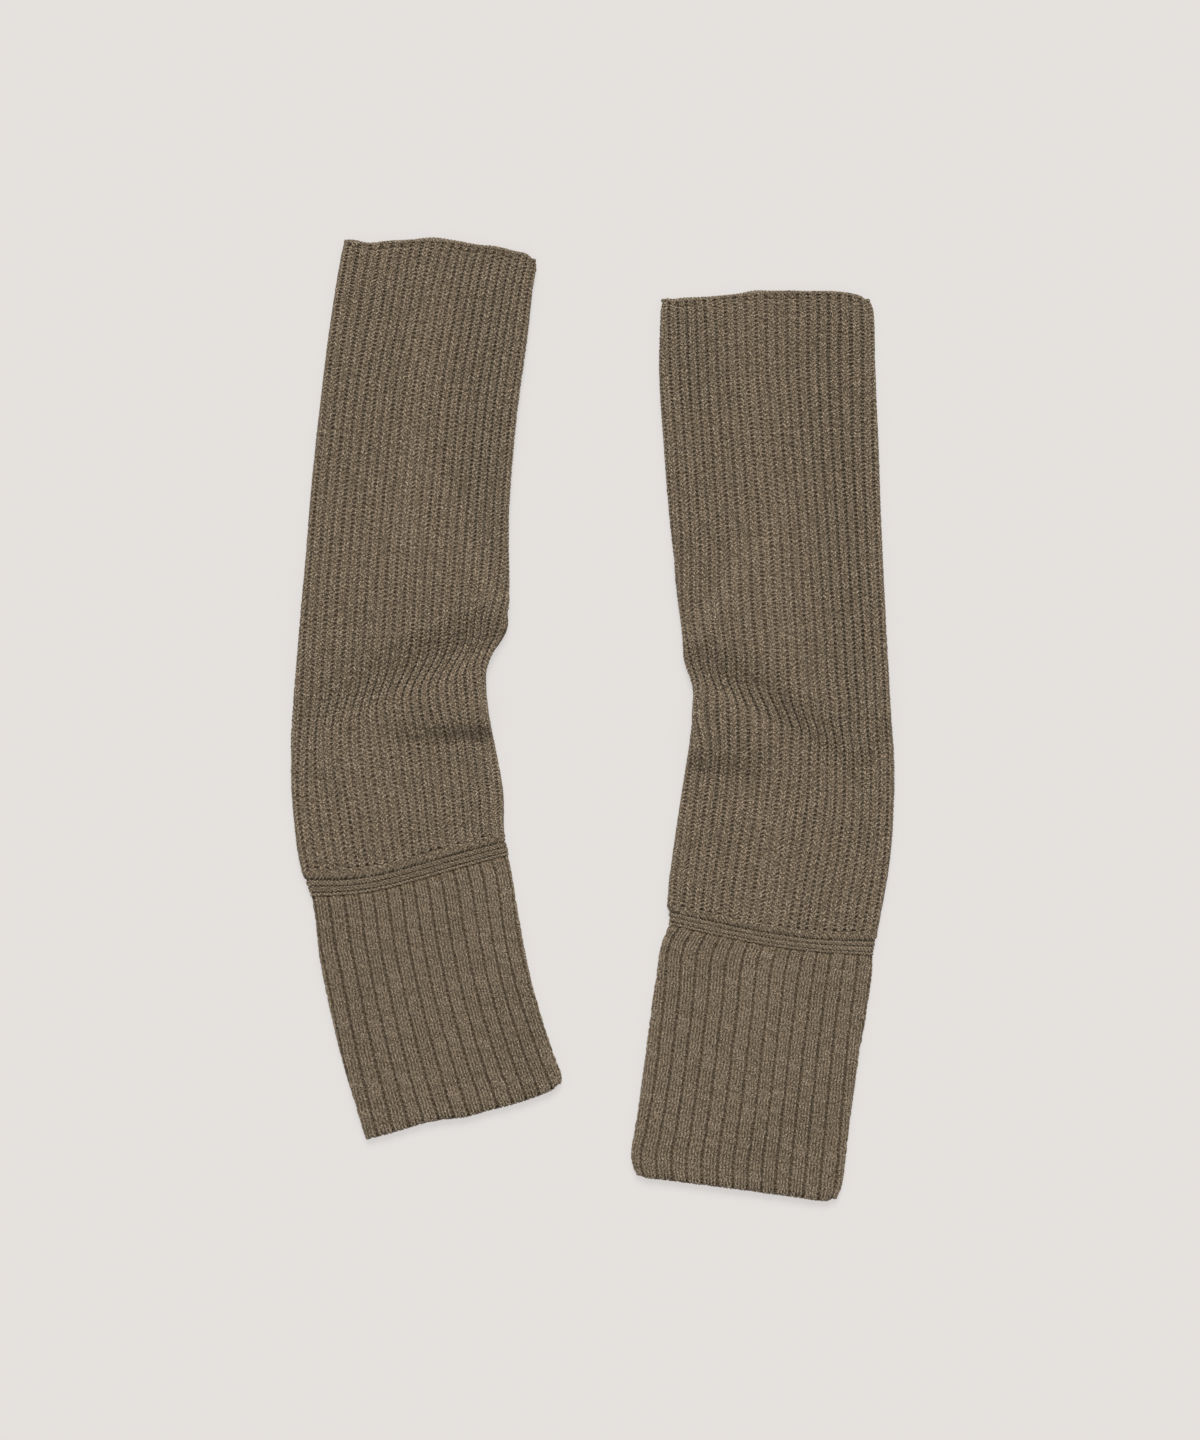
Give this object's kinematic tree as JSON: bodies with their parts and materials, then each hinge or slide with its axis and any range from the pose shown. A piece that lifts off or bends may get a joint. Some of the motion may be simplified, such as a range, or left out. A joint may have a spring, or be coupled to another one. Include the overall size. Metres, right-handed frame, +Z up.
{
  "type": "pair of leg warmers",
  "caption": "Pair of long knitted wool leg warmers in heathered taupe, laid flat: ribbed legs, a purl band over a wide-rib cuff.",
  "frame": {"origin": "Middle of the pair's footprint, on the surface it lies on.", "axes": "+X to the right across the pair, +Y towards the rims, +Z up out of the surface."},
  "size_m": [0.3616, 0.5786, 0.0094],
  "materials": {
    "wool": "matte heathered wool knit"
  },
  "bodies": {
    "root": {"left_rim": "wool", "left_leg": "wool", "left_band": "wool", "left_cuff": "wool", "right_rim": "wool", "right_leg": "wool", "right_band": "wool", "right_cuff": "wool"}
  },
  "joints": []
}
